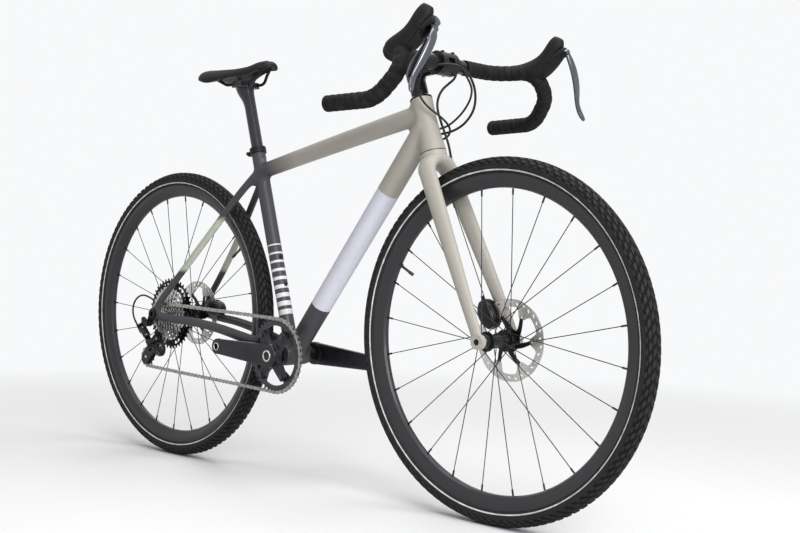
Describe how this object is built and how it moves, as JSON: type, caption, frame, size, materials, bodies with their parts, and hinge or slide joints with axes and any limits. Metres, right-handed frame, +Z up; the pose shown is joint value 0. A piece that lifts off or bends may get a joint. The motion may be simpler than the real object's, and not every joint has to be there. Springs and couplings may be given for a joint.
{
  "type": "gravel bicycle",
  "caption": "Drop-bar gravel bicycle with a sloping-top-tube frame, disc brakes, single chainring, wide-range cassette and knobbly tyres; wheels, steering, drivetrain, levers and seatpost move.",
  "frame": {"origin": "on the ground, midway between the two wheel axles, in the bicycle's middle plane", "axes": "+X forward, +Y to the rider's left, +Z up"},
  "size_m": [1.7076, 0.5255, 0.9564],
  "materials": {
    "warm_paint": "satin warm grey paint",
    "dark_paint": "satin dark gunmetal paint",
    "fade_paint": "satin paint fading from warm grey through white to gunmetal",
    "black_alloy": "black anodised",
    "dark_alloy": "anthracite anodised",
    "grey_alloy": "satin grey",
    "steel": "plain steel",
    "carbon": "glossy dark laminate",
    "rim_black": "satin dark rim",
    "tyre_black": "matt black with a thin pale stripe",
    "tape": "grained black wrap",
    "hood_rubber": "matt black",
    "cover": "black synthetic cover",
    "sheath": "black cable sheath",
    "plastic": "black plastic",
    "pad_lining": "brake lining on a steel plate"
  },
  "bodies": {
    "frame": {"head_tube": "warm_paint", "top_tube": "warm_paint", "down_tube": "fade_paint", "seat_tube": "dark_paint", "seat_stays": "fade_paint", "chain_stays": "dark_paint", "derailleur_hanger": "black_alloy", "frame_bearings": "black_alloy", "seat_collar": "black_alloy", "rear_brake_caliper": "black_alloy", "rear_thru_axle": "black_alloy", "rear_brake_hose": "sheath", "shift_housing": "sheath", "derailleur_housing": "sheath", "left_control_housing": "sheath", "chain": "steel", "derailleur_knuckle": "black_alloy"},
    "steering": {"fork": "warm_paint", "headset_stack": "black_alloy", "stem": "black_alloy", "stem_faceplate": "black_alloy", "handlebar": "black_alloy", "bar_tape": "tape", "lever_bodies": "plastic", "lever_hoods": "hood_rubber", "front_brake_caliper": "black_alloy", "front_thru_axle": "black_alloy", "front_brake_hose": "sheath"},
    "right_yoke": {"right_lever_yoke": "dark_alloy"},
    "right_lever": {"right_brake_lever": "grey_alloy"},
    "right_paddle": {"right_shift_paddle": "plastic"},
    "left_lever": {"left_brake_lever": "grey_alloy"},
    "front_wheel": {"front_hub": "black_alloy", "front_spokes": "black_alloy", "front_rim": "rim_black", "front_tyre": "tyre_black", "front_rotor": "steel"},
    "rear_wheel": {"rear_hub": "black_alloy", "rear_spokes": "black_alloy", "rear_rim": "rim_black", "rear_tyre": "tyre_black", "rear_rotor": "steel"},
    "cogs": {"freehub_body": "dark_alloy", "cassette": "steel"},
    "crank": {"right_crank_arm": "dark_alloy", "left_crank_arm": "dark_alloy", "chainring": "dark_alloy"},
    "outer_link": {"derailleur_outer_link": "black_alloy"},
    "inner_link": {"derailleur_inner_link": "black_alloy"},
    "cage_knuckle": {"derailleur_cage_knuckle": "black_alloy"},
    "cage": {"derailleur_cage": "black_alloy"},
    "guide_wheel": {"guide_pulley": "plastic"},
    "tension_wheel": {"tension_pulley": "plastic"},
    "seat": {"seatpost": "carbon", "saddle_rails": "black_alloy", "saddle": "cover"},
    "front_outer_pad": {"front_pad_outer": "pad_lining"},
    "front_inner_pad": {"front_pad_inner": "pad_lining"},
    "rear_outer_pad": {"rear_pad_outer": "pad_lining"},
    "rear_inner_pad": {"rear_pad_inner": "pad_lining"}
  },
  "joints": [
    {"name": "steering", "type": "hinge", "parent": "frame", "child": "steering", "pos_m": [0.3148, 0, 0.75988], "axis": [-0.3173, 0, 0.9483], "range_deg": [-70, 70], "deforming": ["rear_brake_hose", "shift_housing", "left_control_housing"]},
    {"name": "front_wheel_spin", "type": "hinge", "parent": "steering", "child": "front_wheel", "pos_m": [0.505, 0, 0.349], "axis": [0, 1, 0], "continuous": true},
    {"name": "rear_wheel_spin", "type": "hinge", "parent": "frame", "child": "rear_wheel", "pos_m": [-0.505, 0, 0.349], "axis": [0, 1, 0], "continuous": true},
    {"name": "crank_spin", "type": "hinge", "parent": "frame", "child": "crank", "pos_m": [-0.07668, 0, 0.279], "axis": [0, 1, 0], "continuous": true, "deforming": ["chain"]},
    {"name": "cassette_spin", "type": "hinge", "parent": "frame", "child": "cogs", "pos_m": [-0.505, 0, 0.349], "axis": [0, 1, 0], "continuous": true},
    {"name": "right_brake_pull", "type": "hinge", "parent": "steering", "child": "right_yoke", "pos_m": [0.50493, -0.196, 0.92041], "axis": [0, -0.8973, 0.4414], "range_deg": [0, 20], "stiffness_Nm_per_rad": 1.5, "springref_deg": -5.73},
    {"name": "right_shift_swing", "type": "hinge", "parent": "right_yoke", "child": "right_lever", "pos_m": [0.50893, -0.2035, 0.90515], "axis": [1, 0, 0], "range_deg": [0, 15], "stiffness_Nm_per_rad": 1, "springref_deg": -5.73},
    {"name": "right_shift_release", "type": "hinge", "parent": "right_lever", "child": "right_paddle", "pos_m": [0.50493, -0.21454, 0.88272], "axis": [1, 0, 0], "range_deg": [0, 10], "stiffness_Nm_per_rad": 0.5, "springref_deg": -5.73},
    {"name": "left_brake_pull", "type": "hinge", "parent": "steering", "child": "left_lever", "pos_m": [0.50493, 0.196, 0.92041], "axis": [0, -0.8973, -0.4414], "range_deg": [0, 20], "stiffness_Nm_per_rad": 1.5, "springref_deg": -5.73},
    {"name": "seatpost_height", "type": "slide", "parent": "frame", "child": "seat", "axis": [-0.2857, 0, 0.9583], "range_m": [-0.08, 0.05]},
    {"name": "derailleur_shift", "type": "hinge", "parent": "frame", "child": "outer_link", "pos_m": [-0.55707, -0.07378, 0.31324], "axis": [0.4465, 0.766, 0.4624], "range_deg": [-5.8, 49], "deforming": ["chain"]},
    {"name": "derailleur_inner_swing", "type": "hinge", "parent": "frame", "child": "inner_link", "pos_m": [-0.56452, -0.06478, 0.30552], "axis": [0.4465, 0.766, 0.4624], "range_deg": [-5.8, 49]},
    {"name": "derailleur_knuckle_swing", "type": "hinge", "parent": "outer_link", "child": "cage_knuckle", "pos_m": [-0.5, -0.0894, 0.284], "axis": [0.4465, 0.766, 0.4624], "range_deg": [-49, 5.8]},
    {"name": "cage_swing", "type": "hinge", "parent": "cage_knuckle", "child": "cage", "pos_m": [-0.485, 0, 0.271], "axis": [0, 1, 0], "range_deg": [-80.4, 10]},
    {"name": "guide_pulley_spin", "type": "hinge", "parent": "cage", "child": "guide_wheel", "pos_m": [-0.505, 0, 0.287], "axis": [0, 1, 0], "continuous": true},
    {"name": "tension_pulley_spin", "type": "hinge", "parent": "cage", "child": "tension_wheel", "pos_m": [-0.54634, 0, 0.24079], "axis": [0, 1, 0], "continuous": true},
    {"name": "front_outer_pad_slide", "type": "slide", "parent": "steering", "child": "front_outer_pad", "axis": [0, -1, 0], "range_m": [0, 0.0004]},
    {"name": "front_inner_pad_slide", "type": "slide", "parent": "steering", "child": "front_inner_pad", "axis": [0, 1, 0], "range_m": [0, 0.0004]},
    {"name": "rear_outer_pad_slide", "type": "slide", "parent": "frame", "child": "rear_outer_pad", "axis": [0, -1, 0], "range_m": [0, 0.0004]},
    {"name": "rear_inner_pad_slide", "type": "slide", "parent": "frame", "child": "rear_inner_pad", "axis": [0, 1, 0], "range_m": [0, 0.0004]}
  ],
  "couplings": [
    {"joint": "cassette_spin", "follows": "crank_spin", "ratio": 3.0769},
    {"joint": "guide_pulley_spin", "follows": "crank_spin", "ratio": -3.6364},
    {"joint": "tension_pulley_spin", "follows": "crank_spin", "ratio": 3.6364},
    {"joint": "derailleur_inner_swing", "follows": "derailleur_shift", "ratio": 1},
    {"joint": "derailleur_knuckle_swing", "follows": "derailleur_shift", "ratio": -1},
    {"joint": "cage_swing", "follows": "derailleur_shift", "ratio": -1.63},
    {"joint": "front_outer_pad_slide", "follows": "left_brake_pull", "m_per_rad": 0.0011459},
    {"joint": "front_inner_pad_slide", "follows": "left_brake_pull", "m_per_rad": 0.0011459},
    {"joint": "rear_outer_pad_slide", "follows": "right_brake_pull", "m_per_rad": 0.0011459},
    {"joint": "rear_inner_pad_slide", "follows": "right_brake_pull", "m_per_rad": 0.0011459}
  ]
}
